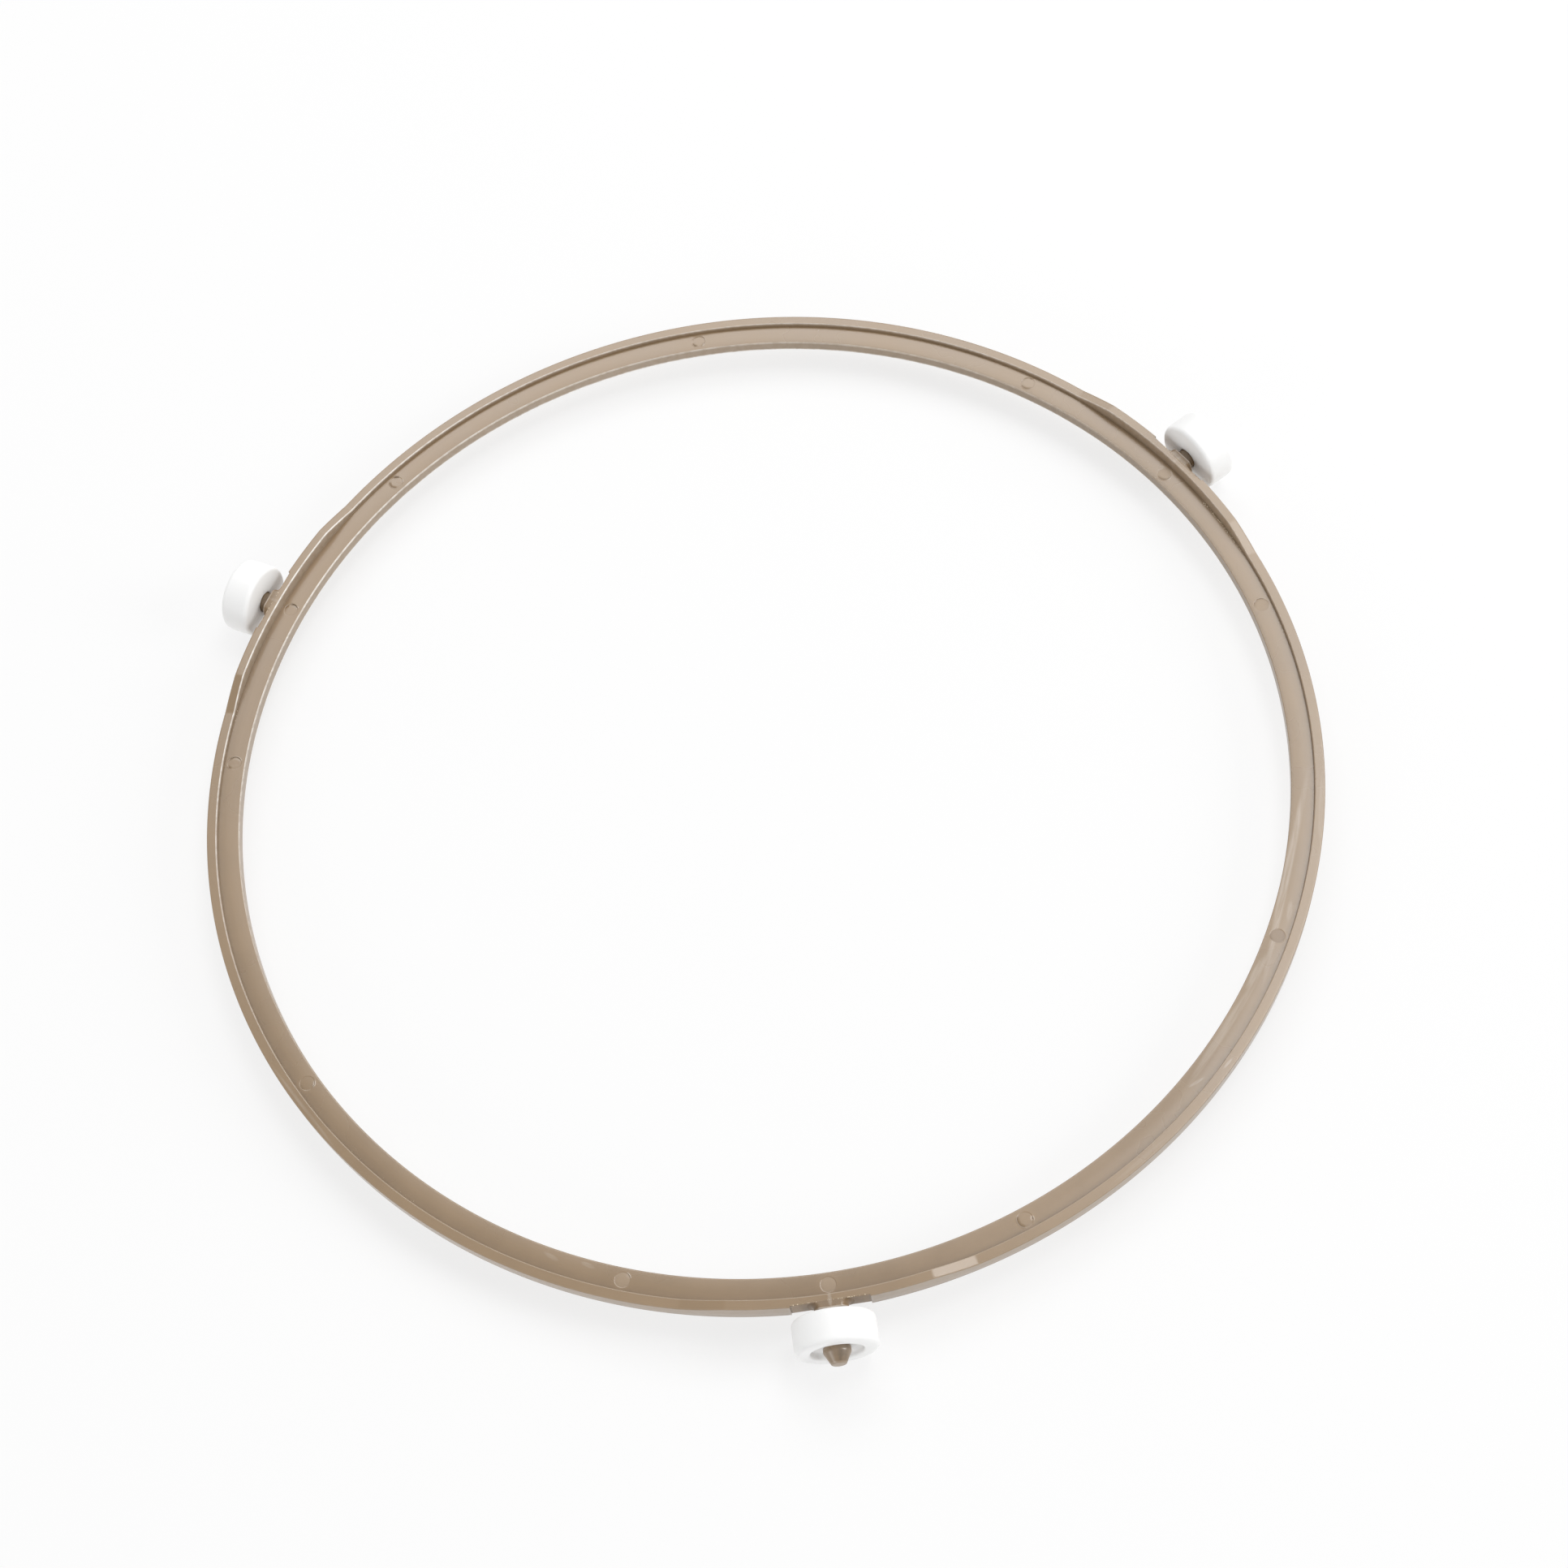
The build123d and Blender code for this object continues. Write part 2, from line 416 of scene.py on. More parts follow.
def section(degrees):
    """Outline of the ring's section as (radius, height), its finishes, and where the base's top starts."""
    top, out = rim_height(degrees), outer_radius(degrees)
    lean = RIM_INNER + (top - BASE_TOP) * WALL_LEAN
    inner_top = base_height(BASE_INNER)
    outside = (max(spread(degrees, *OUTSIDE_SHEEN), step_highlight(degrees)), pocket_shade(degrees), 0)
    rim_edge = (spread(degrees, *RIM_EDGE_WEAR_AND_HIGHLIGHT), 0, spread(degrees, *RIM_EDGE_HIGHLIGHT))
    wall, foot = spread(degrees, *WALL_SHEEN), spread(degrees, *CORNER_SHADE)
    low_wall = (wall * WALL_FOOT_SHEEN, foot * WALL_FOOT_SHADE, 0)
    base_edge = (spread(degrees, *BASE_EDGE_WEAR), 0, spread(degrees, *BASE_EDGE_HIGHLIGHT))
    inside = (spread(degrees, *INSIDE_LIGHTENING), spread(degrees, *INSIDE_DARKENING), 0)
    corners = [
        (out, BASE_BOTTOM, UNDER_ROUND, 2, outside),
        (out, (BASE_BOTTOM + top) / 2, 0, 0, outside),
        (out, top - OUTER_BAND, 0, 0, outside),
        (out, top, OUTER_ROUND, 2, OUTER_EDGE),
        (out - NEAR, top, 0, 0),
        (out - FAR, top, 0, 0),
        (lean + FAR, top, 0, 0),
        (lean + RIM_ROUND + TOP_GAP, top, 0, 0),
        (lean, top, RIM_ROUND, 6, rim_edge),
        (lean - EDGE_LEAN, top - RIM_ROUND - WALL_GAP, 0, 0, (wall, 0, 0)),
        (RIM_INNER + NEAR * WALL_LEAN, BASE_TOP + NEAR, 0, 0, low_wall),
        (RIM_INNER, BASE_TOP, FOOT_ROUND, 1, (0, foot, 0)),
    ]
    first = sum(c[3] + 1 for c in corners)
    for s in range(BASE_STEPS + 1):
        radius = BASE_START + (BASE_END - BASE_START) * s / BASE_STEPS
        corners.append((radius, base_height(radius), 0, 0, (0, base_darkening(degrees, s), 0)))
    corners += [
        (BASE_INNER, inner_top, INNER_ROUND, 4, base_edge),
        (BASE_INNER, inner_top - INNER_BAND, 0, 0, inside),
        (BASE_INNER, BASE_BOTTOM + UNDER_BAND, 0, 0, inside),
        (BASE_INNER, BASE_BOTTOM + CHALK_BAND, 0, 0, (UNDER_WEAR, 0, spread(degrees, *UNDER_FLASH))),
        (BASE_INNER, BASE_BOTTOM, INNER_ROUND, 3, CHALKY),
    ]
    corners += [(radius, BASE_BOTTOM, 0, 0) for radius in UNDER_RADII]
    return rounded(corners), finishes(corners), first


# Noise in the ring's plastic: scales per metre, then bands (from, to) and the shares at their two ends
CLOUD_SCALE, BREAK_SCALE, GRAIN_SCALE, GRAIN_DETAIL = 60.0, 900.0, 9000.0, 2.0
STREAK_TURNS, STREAK_ACROSS, STREAK_DETAIL, STREAK_ROUGH = 14.0, 2600.0, 4.0, 0.6
CLOUD_BAND = (0.3, 0.7)
STREAK_BAND = (0.38, 0.72, 0.0, 0.07)
WEAR_AND_SHEEN_BREAKS = (0.3, 0.66, 0.5, 0.78)
SHADE_AND_GRIME_BREAKS = (0.3, 0.65, 0.95, 0.6)
CHALK_AND_HIGHLIGHT_BREAKS = (0.38, 0.6, 0.6, 0.95)
SCUFF_BREAKS = (0.3, 0.65, 0.35, 1.0)
SCUFF_EDGE = (0.45, 1.0)
WORN_ROUGHER = 0.06
GRAIN_BUMP, GRAIN_HEIGHT = 0.08, 0.00002

# Shades of the plastic itself, the darkening for grime and painted shade, and colours of wear and painted
# sheen, of chalk and painted highlights, and of scuffs
CLOUD_DARK, CLOUD_LIGHT, STREAK_SHADE, SHADE_AND_GRIME_FACTOR = 0.95, 1.05, 1.4, 0.42
SHEEN_AND_WEAR_COLOUR = (0.53, 0.465, 0.405, 1)
CHALK_AND_HIGHLIGHT_COLOUR = (0.84, 0.80, 0.74, 1)
SCUFF_COLOUR = (0.56, 0.49, 0.42, 1)


def shade(colour, factor):
    """A colour made lighter or darker."""
    return [c * factor for c in colour] + [1]


def scuff(p, x, y, streaks, degrees, radius, long, wide, tilt, strength):
    """Share of a rubbed oval on the ring, broken up by the streaks."""
    c, s = math.cos(math.radians(degrees)), math.sin(math.radians(degrees))
    out = p.minus(p.plus(p.times(x, c), p.times(y, s)), radius * MM)
    along = p.minus(p.times(y, c), p.times(x, s))
    c, s = math.cos(math.radians(tilt)), math.sin(math.radians(tilt))
    u = p.plus(p.times(along, c / (long * MM)), p.times(out, s / (long * MM)))
    v = p.minus(p.times(out, c / (wide * MM)), p.times(along, s / (wide * MM)))
    return p.times(p.step(p.length(u, v), *SCUFF_EDGE, strength, 0.0), p.step(streaks, *SCUFF_BREAKS))


def ring_plastic(name, colour, rough_low, rough_high, scuffs=(), ior=1.8):
    """Moulded plastic with clouds and streaks, and the finishes that its points carry: wear and painted
    sheen, grime and painted shade, chalk and painted highlights.
    """
    p = Painter(bpy.data.materials.new(name))
    here = p.node("ShaderNodeTexCoord").outputs["Object"]
    x, y = p.node("ShaderNodeSeparateXYZ", here).outputs[:2]
    radius = p.length(x, y)
    turned = [p.times(p.math("DIVIDE", v, radius), STREAK_TURNS) for v in (x, y)]
    round_ring = p.node("ShaderNodeCombineXYZ", *turned, p.times(radius, STREAK_ACROSS)).outputs[0]
    streaks = p.noise(round_ring, 1.0, STREAK_DETAIL, STREAK_ROUGH)
    clouds, breaks = p.noise(here, CLOUD_SCALE), p.noise(here, BREAK_SCALE)
    grain = p.noise(here, GRAIN_SCALE, GRAIN_DETAIL)
    finish = p.node("ShaderNodeAttribute", attribute_name="finish").outputs["Color"]
    wear_and_sheen, grime_and_shade, chalk_and_highlight = p.node("ShaderNodeSeparateColor", finish).outputs
    worn_and_sheen = p.times(wear_and_sheen, p.step(breaks, *WEAR_AND_SHEEN_BREAKS))

    paint = p.mix(p.step(clouds, *CLOUD_BAND), shade(colour, CLOUD_DARK), shade(colour, CLOUD_LIGHT))
    paint = p.mix(p.step(streaks, *STREAK_BAND), paint, shade(colour, STREAK_SHADE))
    # Painted shade, with some grime: darker where the points carry it
    paint = p.mix(p.times(grime_and_shade, p.step(breaks, *SHADE_AND_GRIME_BREAKS)), paint, shade(colour, SHADE_AND_GRIME_FACTOR))
    # Painted sheen and highlights, with some wear: lighter where the points carry it
    paint = p.mix(worn_and_sheen, paint, SHEEN_AND_WEAR_COLOUR)
    # Painted highlights and chalky flash: paler where the points carry them
    paint = p.mix(p.times(chalk_and_highlight, p.step(breaks, *CHALK_AND_HIGHLIGHT_BREAKS)), paint, CHALK_AND_HIGHLIGHT_COLOUR)
    for place in scuffs:
        paint = p.mix(scuff(p, x, y, streaks, *place), paint, SCUFF_COLOUR)
    p.set("Base Color", paint)
    rough = p.step(clouds, *CLOUD_BAND, rough_low, rough_high)
    p.set("Roughness", p.plus(rough, p.times(worn_and_sheen, WORN_ROUGHER)))
    p.set("Normal", p.bump(grain, GRAIN_BUMP, GRAIN_HEIGHT))
    p.set("IOR", ior)
    return p.owner


# Plastic of the rollers: two near whites, roughness and grain
WHITE_DARK, WHITE_LIGHT = (0.93, 0.93, 0.925, 1), (0.96, 0.96, 0.955, 1)
WHITE_CLOUD_SCALE, WHITE_GRAIN_SCALE, WHITE_GRAIN_BUMP = 240.0, 6000.0, 0.06
WHITE_ROUGH = (0.34, 0.46)


def roller_plastic(name):
    """Clean white plastic."""
    p = Painter(bpy.data.materials.new(name))
    here = p.node("ShaderNodeTexCoord").outputs["Object"]
    clouds = p.noise(here, WHITE_CLOUD_SCALE)
    grain = p.noise(here, WHITE_GRAIN_SCALE, GRAIN_DETAIL)
    p.set("Base Color", p.mix(clouds, WHITE_DARK, WHITE_LIGHT))
    p.set("Roughness", p.step(clouds, *CLOUD_BAND, *WHITE_ROUGH))
    p.set("Normal", p.bump(grain, WHITE_GRAIN_BUMP, GRAIN_HEIGHT))
    return p.owner


# Rubbed places on the ring: angle, radius, half length, half width, tilt, strength
SCUFFS = [
    (337, 96.9, 24, 0.9, 0, 0.42),
    (325.5, 97.3, 4.5, 0.9, 5, 0.3),
    (333, 98.9, 2.6, 0.6, -8, 0.2),
    (318, 97.2, 14, 0.9, 0, 0.3),
    (312.0, 98.6, 1.9, 0.35, 18, 0.4),
    (315.3, 101.0, 1.5, 0.28, 4, 0.45),
    (242.5, 97.6, 1.8, 0.5, 12, 0.2),
    (246.3, 97.2, 1.6, 0.45, 8, 0.22),
    (270, 101.3, 0.42, 1.5, 0, 0.4),
    (30, 101.3, 0.42, 1.5, 0, 0.2),
    (150, 101.3, 0.42, 1.5, 0, 0.2),
    (345, 101.3, 9, 0.5, 0, 0.15),
    (302, 101.2, 8, 0.4, 0, 0.1),
    (212, 101.2, 12, 0.35, 0, 0.2),
]

# Materials of the ring, in the order of its slots, and of the rollers
RING_MATERIALS = [
    ring_plastic("ring_plastic", (0.262, 0.170, 0.086), 0.26, 0.31, SCUFFS),
    ring_plastic("ring_mark", (0.30, 0.205, 0.118), 0.42, 0.5),
    ring_plastic("ring_flash", (0.74, 0.62, 0.44), 0.3, 0.4),
    ring_plastic("ring_dull_mark", (0.24, 0.163, 0.097), 0.36, 0.44),
    # The pocket's copy of the plastic reflects less than the body's, so that the pocket's walls look shaded
    ring_plastic("ring_pocket", (0.30, 0.20, 0.112), 0.42, 0.52, ior=1.4),
]
WHITE = roller_plastic("roller_plastic")


# Angles at which the ring's section is drawn, with finer steps where the ramps bend and the pockets end
TURN_STEP = 0.25
BEND_STEP, BEND_STEPS = 0.06, 4
POCKET_END_STEPS = (-0.05, -0.01, 0.01, 0.05)
ANGLE_DIGITS = 4


def turn_places():
    """Angles of the ring's sections, in degrees."""
    places = {TURN_STEP * i for i in range(round(360 / TURN_STEP))}
    pocket_end = math.degrees(math.atan2(POCKET_HALF, POCKET_FLAT))
    offsets = [pocket_end + s for s in POCKET_END_STEPS]
    for bend in (SEAT_END, SEAT_END + RAMP_ANGLE):
        offsets += [bend + BEND_STEP * s for s in range(-BEND_STEPS, BEND_STEPS + 1)]
    for middle in ROLLERS.values():
        places |= {middle + side * offset for side in (-1, 1) for offset in offsets}
    return sorted({round(place % 360, ANGLE_DIGITS) for place in places})


# Ejector marks: angle, material of the face, and raised burrs on the edge as (from, to, height)
MARKS = {
    10: (DISC, [(-100, 60, 0.035)]),
    30: (DISC, [(150, 300, 0.05)]),
    50: (BODY, [(80, 100, 0.08), (200, 330, 0.04), (330, 440, 0.025)]),
    90: (BODY, [(200, 250, 0.05), (290, 350, 0.06), (0, 200, 0.03)]),
    130: (BODY, [(110, 165, 0.16), (-60, 60, 0.05), (190, 230, 0.04)]),
    150: (BODY, [(150, 235, 0.14), (95, 130, 0.08)]),
    170: (BODY, [(115, 250, 0.07), (20, 60, 0.05)]),
    210: (BODY, [(-75, -15, 0.07), (60, 120, 0.03)]),
    250: (DISC, [(-70, -20, 0.05)]),
    270: (DISC, []),
    290: (BODY, [(110, 250, 0.06), (0, 35, 0.06)]),
    330: (DULL, [(200, 300, 0.02)]),
}
MARK_WINDOW = 1.25  # degrees on each side of a mark that the plain base leaves open to it
WINDOW_MARGIN = 1e-6

# Rings of a mark from outside inward: place beside its edge, share of the burr's height, share of the depth
MARK_STEPS = (
    (0.23, 0, 0),
    (0.16, 0, 0),
    (0.05, 0.55, 0),
    (0.0, 1, 0.05),
    (-0.04, 0.4, 0.6),
    (-0.09, 0, 1),
    (-0.16, 0, 0.95),
    (-0.6, 0, 0.93),
)
FACE_FROM = 6  # number of the ring from which on a mark has its face's material
# Inside the second place a mark carries no painted shade
FACE_REACH, SHADE_REACH = -0.12, -0.2  # places inside which the depth is even, and the face is clean
FACE_SHARE, MIDDLE_SHARE = 0.4, 0.88  # of the depth on the face, and of the face's depth in its middle

# What a burr's height adds, per millimetre, to the depth beside it, to its wear and to the painted shade at
# its foot
BURR_DEPTH, BURR_WEAR, BURR_SHADE = 10, 18, 5
# Least wear on a mark's edge, and the least and the most painted shade in its groove
EDGE_WEAR, GROOVE_SHADE, MOST_SHADE = 0.05, 0.08, 0.8
BURR_TAPER = 5  # a burr rises to its height over a fifth of its length at each end


def marked(degrees):
    """The mark in whose window an angle lies strictly inside, or None."""
    for at in MARKS:
        if abs((degrees - at + 180) % 360 - 180) < MARK_WINDOW - WINDOW_MARGIN:
            return at
    return None


def burr(spots, angle):
    """Height of the burr on a mark's edge at an angle, tapering to nothing at both ends."""
    best = 0.0
    for start, end, height in spots:
        share = ((angle - start) % 360) / (end - start)
        if share <= 1:
            best = max(best, height * min(1, BURR_TAPER * share, BURR_TAPER * (1 - share)))
    return best


def sink_mark(shell, at, sections, first, last):
    """Closes the window at an angle with a shallow round mark.

    The window lies between the first and the last of these sections, and between two points of each.
    """
    slot, spots = MARKS[at]
    rim = [s[first] for s in sections]
    rim += sections[-1][first + 1:last]
    rim += [s[last] for s in reversed(sections)]
    rim += reversed(sections[0][first + 1:last])
    along, out, up = polar(1, at + 90, 0), polar(1, at, 0), Vector((0, 0, 1))
    centre = out * MARK_AT + up * BASE_TOP
    offsets = [shell.points[i] - centre for i in rim]
    angles = [math.atan2(offset.dot(out), offset.dot(along)) for offset in offsets]
    rings = [rim]
    for reach, lip, drop in MARK_STEPS:
        rings.append([])
        for a in angles:
            edge = burr(spots, math.degrees(a))
            share = min(1, FACE_SHARE + BURR_DEPTH * edge) if reach > FACE_REACH else FACE_SHARE
            depth = MARK_DEPTH * share
            across = math.sin(a) * (MARK_R + reach)
            fall = base_height(MARK_AT + across) - BASE_TOP
            place = centre + along * math.cos(a) * (MARK_R + reach) + out * across
            wear_and_sheen = min(1, EDGE_WEAR + BURR_WEAR * edge) * lip
            # Painted shade in the groove, deepest at the foot of a burr
            grime_and_shade = min(MOST_SHADE, GROOVE_SHADE + BURR_SHADE * edge) * drop * (reach > SHADE_REACH)
            rings[-1].append(shell.point(place + up * (fall + edge * lip - depth * drop), (wear_and_sheen, grime_and_shade, 0)))
    fall = base_height(MARK_AT) - BASE_TOP
    middle = shell.point(centre + up * (fall - MARK_DEPTH * FACE_SHARE * MIDDLE_SHARE))
    pairs = [(s, (s + 1) % len(rim)) for s in range(len(rim))]
    for j, (outer, inner) in enumerate(zip(rings, rings[1:])):
        for s, t in pairs:
            shell.face([outer[s], outer[t], inner[t], inner[s]], slot if j >= FACE_FROM else BODY)
    for s, t in pairs:
        shell.face([rings[-1][s], rings[-1][t], middle], slot)


def carry_round(shell):
    """The ring's section carried round its axis, with the ejector marks in its base."""
    places, rows = turn_places(), []
    for degrees in places:
        outline, tags, first = section(degrees)
        rows.append([shell.point(polar(r, degrees, z), tag) for (r, z), tag in zip(outline, tags)])
    last = first + BASE_STEPS
    windows = {at: [] for at in MARKS}
    for i, near in enumerate(rows):
        following = (i + 1) % len(rows)
        far = rows[following]
        at = marked((places[i] + ((places[following] - places[i]) % 360) / 2) % 360)
        if at is not None:
            windows[at] += [far] if windows[at] else [near, far]
        for k in range(len(near)):
            if at is None or not first <= k < last:
                n = (k + 1) % len(near)
                shell.face([near[k], far[k], far[n], near[n]])
    for at, sections in windows.items():
        sink_mark(shell, at, sections, first, last)


# Painted shade on a barb: its least and its further share, and how it sets in and eases off round the barb
SIDE_SHADE_LEAST, SIDE_SHADE_MORE = 0.3, 0.5
SIDE_SHADE_START, SIDE_SHADE_START_SLOPE = 0.2, 4
SIDE_SHADE_END, SIDE_SHADE_END_SLOPE = 3.2, 3


def side_shaded(wear_and_sheen):
    """Finish of the barb: wear, and painted shade all round that is darker down one side."""
    def finish(a):
        start = min(1, max(0, SIDE_SHADE_START_SLOPE * math.cos(a) + SIDE_SHADE_START))
        end = min(1, SIDE_SHADE_END - SIDE_SHADE_END_SLOPE * math.cos(a))
        return wear_and_sheen, SIDE_SHADE_LEAST + SIDE_SHADE_MORE * start * end, 0
    return finish


# Axle stub: corners (radius from the ring's axis, radius from the axle, round, steps, finish)
STUB_STEPS = 96
ROOT = POCKET_FLAT - 0.3
FOOT, FOOT_R = POCKET_FLAT + 0.01, COLLAR_R + 1.0
TIP_BACK, TIP_BACK_R, TIP_R = BARB_TIP - 0.4, BARB_TIP_R + 0.055, BARB_TIP_R - 0.164
FOOT_FILLET, COLLAR_ROUND, AXLE_FILLET = 0.9, 0.15, 0.08
SHOULDER_ROUND, BARB_ROUND, TIP_ROUND = 0.1, 0.25, 0.2
# The collar's outer end edge is lighter: a painted highlight
COLLAR_HIGHLIGHT, TIP_FACE = (0.8, 0, 0), (0.3, 0.2, 0)
BARB_WEAR = 0.1
STUB = [
    (ROOT, 0, 0, 0),
    # Painted shade at the collar's foot, and on the axle past the collar's end
    (ROOT, FOOT_R, 0, 0, HALF_SHADED),
    (FOOT, FOOT_R, 0, 0, HALF_SHADED),
    (FOOT, COLLAR_R, FOOT_FILLET, 6, HALF_SHADED),
    (COLLAR_END, COLLAR_R, COLLAR_ROUND, 3, COLLAR_HIGHLIGHT),
    (COLLAR_END, AXLE_R, AXLE_FILLET, 2, SHADED),
    (BARB_SHOULDER, AXLE_R, 0, 0),
    (BARB_SHOULDER, BARB_R, SHOULDER_ROUND, 2, side_shaded(BARB_WEAR)),
    (BARB_WIDE, BARB_R, BARB_ROUND, 3, side_shaded(BARB_WEAR)),
    (TIP_BACK, TIP_BACK_R, 0, 0, side_shaded(0)),
    (BARB_TIP, TIP_R, TIP_ROUND, 4, TIP_FACE),
    (BARB_TIP, 0, 0, 0),
]
LEVEL_GAP = 0.003  # keeps the collar's level cuts apart from the seat and the underside
LEVELS = (BASE_BOTTOM + LEVEL_GAP, SEAT_TOP - LEVEL_GAP)

# Limits of what counts as a pocket's walls: depth, width and height
POCKET_DEPTHS = (POCKET_FLAT - 0.02, COLLAR_END - 0.08)
POCKET_WIDE, POCKET_HIGH = POCKET_HALF - 0.05, SEAT_TOP - 0.06


def in_pocket(place):
    """True on the walls of a pocket and the sides of its collar."""
    off = math.radians(from_roller(math.degrees(math.atan2(place.y, place.x))))
    out, across = place.xy.length * math.cos(off), place.xy.length * math.sin(off)
    return POCKET_DEPTHS[0] < out < POCKET_DEPTHS[1] and abs(across) < POCKET_WIDE and place.z < POCKET_HIGH


# Flakes of flash along the pockets' upper edges
FLAKES = 26
FLAKE_SPREAD, FLAKE_DEPTH = POCKET_HALF - 0.25, 0.06
FLAKE_SIZES = (0.05, 0.16)

# Grains of plastic dust in the corner under the rim: from, to (degrees), count, size
DUST = [
    (5.8, 7.6, 14, 0.1),
    (16.5, 24.5, 75, 0.15),
    (44, 52, 8, 0.1),
    (200, 230, 10, 0.1),
    (160, 166, 6, 0.1),
]
DUST_FROM_RIM, DUST_RISE, DUST_SIZES = (0.04, 0.35), 0.03, (0.4, 1)

# Form of a crumb: its axes, how crooked it is and how much its tips vary
CRUMB_AXES = (Vector((1, 0, 0)), Vector((0, 1, 0)), Vector((0, 0, 0.6)))
CRUMB_SHAKE, CRUMB_TIPS = 0.35, (0.5, 1)


def crumb(shell, place, size):
    """A small crooked flake with eight faces."""
    tips = []
    for axis in CRUMB_AXES:
        for sign in (-1, 1):
            shake = Vector([random.uniform(-CRUMB_SHAKE, CRUMB_SHAKE) for _ in range(3)])
            tips.append(shell.point(place + (axis * sign + shake) * size * random.uniform(*CRUMB_TIPS)))
    for a in (0, 1):
        for b in (2, 3):
            for c in (4, 5):
                shell.face([tips[a], tips[b], tips[c]], FLASH)


# Ring with its axle stubs, flakes and dust
shell = Shell()
carry_round(shell)
for middle in ROLLERS.values():
    shell.lathe(STUB, middle, STUB_STEPS, False, LEVELS, COLLAR_END)
for f, face in enumerate(shell.faces):
    if in_pocket(sum((shell.points[i] for i in face), Vector()) / len(face)):
        shell.slots[f] = POCKET
for middle in ROLLERS.values():
    for _ in range(FLAKES):
        across = random.uniform(-FLAKE_SPREAD, FLAKE_SPREAD)
        place = polar(POCKET_FLAT - FLAKE_DEPTH, middle, SEAT_TOP) + polar(across, middle + 90, 0)
        crumb(shell, place, random.uniform(*FLAKE_SIZES))
for start, end, count, size in DUST:
    for _ in range(count):
        radius = RIM_INNER - random.uniform(*DUST_FROM_RIM)
        place = polar(radius, random.uniform(start, end), BASE_TOP + DUST_RISE)
        crumb(shell, place, random.uniform(*DUST_SIZES) * size)
ring = shell.make("ring_body", RING_MATERIALS)
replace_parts(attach(ring, "ring"), "ring")

# Rollers: rounded running edges, a recess round the barb and a through bore
WHEEL_STEPS = 128
BORE_ROUND, RUNNING_ROUND, LIP_ROUND, RECESS_FILLET = 0.12, 0.95, 0.45, 0.6
WHEEL = [
    (ROLLER_IN, BORE_R, BORE_ROUND, 2),
    (ROLLER_IN, ROLLER_R, RUNNING_ROUND, 8),
    (ROLLER_OUT, ROLLER_R, RUNNING_ROUND, 8),
    (ROLLER_OUT, RECESS_R, LIP_ROUND, 6),
    (RECESS_FLOOR, RECESS_R, RECESS_FILLET, 6),
    (RECESS_FLOOR, BORE_R, BORE_ROUND, 2),
]
for name, middle in ROLLERS.items():
    shell = Shell()
    shell.lathe(WHEEL, middle, WHEEL_STEPS, True)
    piece = shell.make(name + "_wheel", [WHITE])
    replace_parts(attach(piece, name), name)

# Floor: white in reflections, and to the camera whiter with distance from the part
FLOOR_HALF = 3
FLOOR_COLOUR, FLOOR_ROUGH, FLOOR_GLOSS = (0.9, 0.9, 0.9, 1), 0.9, 0.1
FLOOR_FADE = (0.3, 1.2, 0.72, 1.0)  # metres from, to, and the white share at each
WHITE_LIGHT_COLOUR = (1, 1, 1, 1)
floor_mesh = bpy.data.meshes.new("floor")
floor_corners = [(FLOOR_HALF * x, FLOOR_HALF * y, 0) for x, y in ((-1, -1), (1, -1), (1, 1), (-1, 1))]
floor_mesh.from_pydata(floor_corners, [], [(0, 1, 2, 3)])
floor = bpy.data.objects.new("floor", floor_mesh)
bpy.context.scene.collection.objects.link(floor)
p = Painter(bpy.data.materials.new("floor_white"))
p.set("Base Color", FLOOR_COLOUR)
p.set("Roughness", FLOOR_ROUGH)
p.set("Specular IOR Level", FLOOR_GLOSS)
path = p.node("ShaderNodeLightPath").outputs
here = p.node("ShaderNodeTexCoord").outputs["Object"]
away = p.node("ShaderNodeVectorMath", here, operation="LENGTH").outputs["Value"]
seen = p.times(path["Is Camera Ray"], p.step(away, *FLOOR_FADE))
for ray in ("Is Glossy Ray", "Is Transmission Ray"):
    seen = p.math("MAXIMUM", seen, path[ray])
glow = p.node("ShaderNodeEmission", WHITE_LIGHT_COLOUR, 1.0).outputs[0]
lit = p.node("ShaderNodeMixShader", seen, p.shader.outputs[0], glow).outputs[0]
p.put(p.tree.nodes["Material Output"].inputs["Surface"], lit)
floor_mesh.materials.append(p.owner)

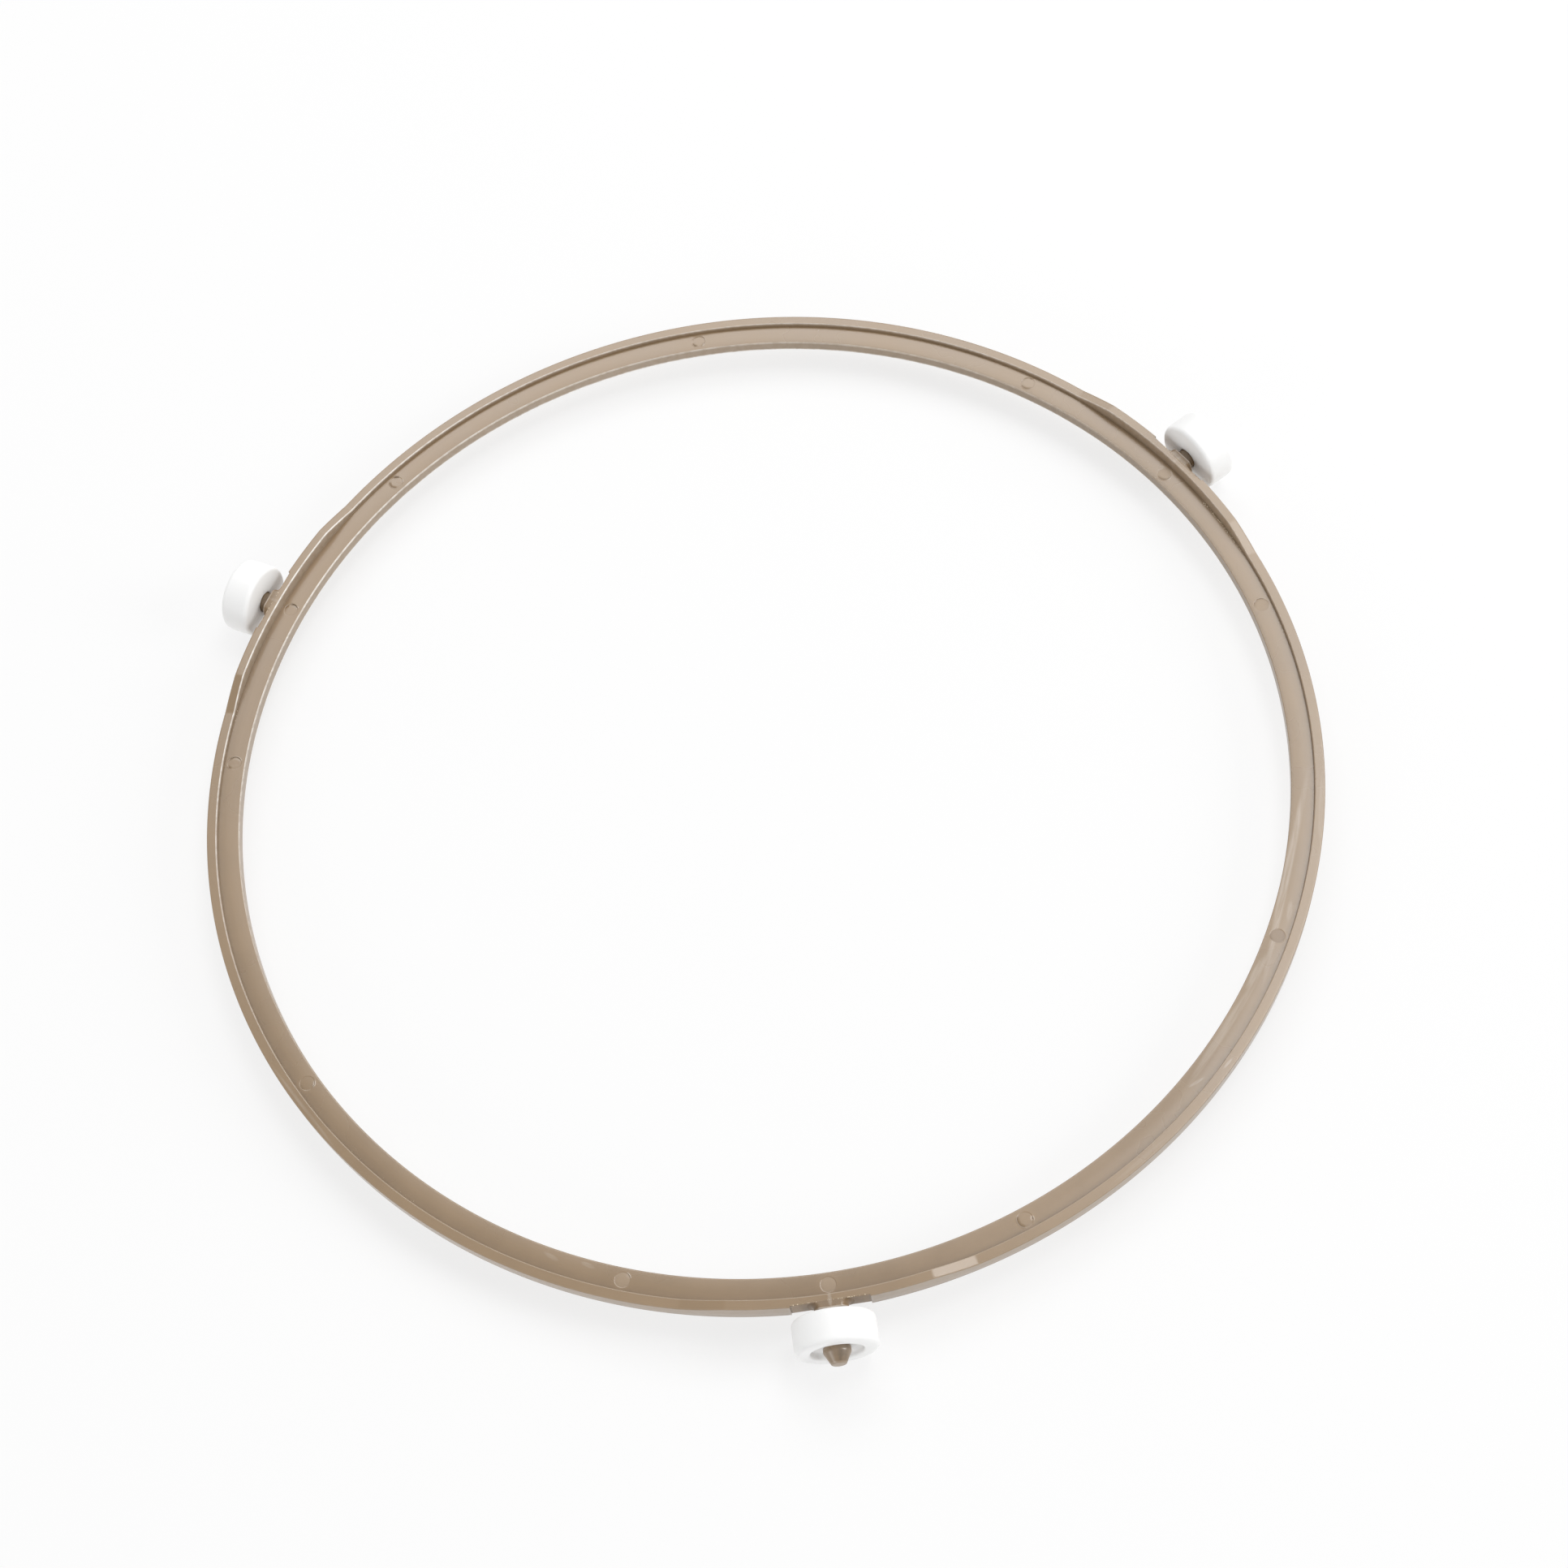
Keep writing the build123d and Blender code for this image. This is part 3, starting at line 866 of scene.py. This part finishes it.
# World: white to the camera, dimmer in reflections, and dimmer still as light on matt surfaces
WORLD_LEVEL, WORLD_DIFFUSE_LEVEL = 0.88, 0.52
scene = bpy.context.scene
scene.view_settings.view_transform = "Standard"
p = Painter(bpy.data.worlds.new("studio"), "Background")
scene.world = p.owner
path = p.node("ShaderNodeLightPath").outputs
ends = (0.0, 1.0, WORLD_LEVEL, WORLD_DIFFUSE_LEVEL)
level = p.node("ShaderNodeMapRange", path["Is Diffuse Ray"], *ends).outputs[0]
p.set("Color", WHITE_LIGHT_COLOUR)
p.set("Strength", p.math("MAXIMUM", level, path["Is Camera Ray"]))

# Soft lamps that face the part: azimuth from +X, elevation, width, height, power
LAMP_DISTANCE = 1.5
LAMPS = {
    "key": (34, 66, 0.5, 0.5, 4.2),
    "back": (80, 50, 1.4, 0.66, 7.6),
    "side": (345, 25, 0.6, 0.7, 7),
    "front": (226, 15, 0.9, 0.6, 4),
}
for name, (azimuth, elevation, width, height, power) in LAMPS.items():
    light = bpy.data.lights.new(name, "AREA")
    light.shape = "RECTANGLE"
    light.size = width
    light.size_y = height
    light.energy = power
    lamp = bpy.data.objects.new(name, light)
    scene.collection.objects.link(lamp)
    a, e = math.radians(azimuth), math.radians(elevation)
    way = Vector((math.cos(a) * math.cos(e), math.sin(a) * math.cos(e), math.sin(e)))
    lamp.location = way * LAMP_DISTANCE
    lamp.rotation_euler = way.to_track_quat("Z", "Y").to_euler()

# Camera as fitted to the photograph: its angles in radians, and its turn about the ring's axis in degrees
SENSOR, LENS = 36.0, 56.12
YAW, PITCH, ROLL = 0.0195, 1.0768, -0.1891
CAMERA_TURN = 3.5
CAMERA_PLACE = (0, -0.216012, 0.39855)
camera_data = bpy.data.cameras.new("camera")
camera_data.sensor_width = SENSOR
camera_data.lens = LENS
camera = bpy.data.objects.new("camera", camera_data)
scene.collection.objects.link(camera)
scene.camera = camera
forward = Vector((math.sin(YAW) * math.cos(PITCH), math.cos(YAW) * math.cos(PITCH), -math.sin(PITCH)))
right = Vector((math.cos(YAW), -math.sin(YAW), 0))
up = right.cross(forward)
across = right * math.cos(ROLL) + up * math.sin(ROLL)
above = up * math.cos(ROLL) - right * math.sin(ROLL)
turn = Matrix.Rotation(math.radians(CAMERA_TURN), 3, "Z")
axes = Matrix((turn @ across, turn @ above, turn @ -forward)).transposed()
camera.matrix_world = Matrix.Translation(turn @ Vector(CAMERA_PLACE)) @ axes.to_4x4()
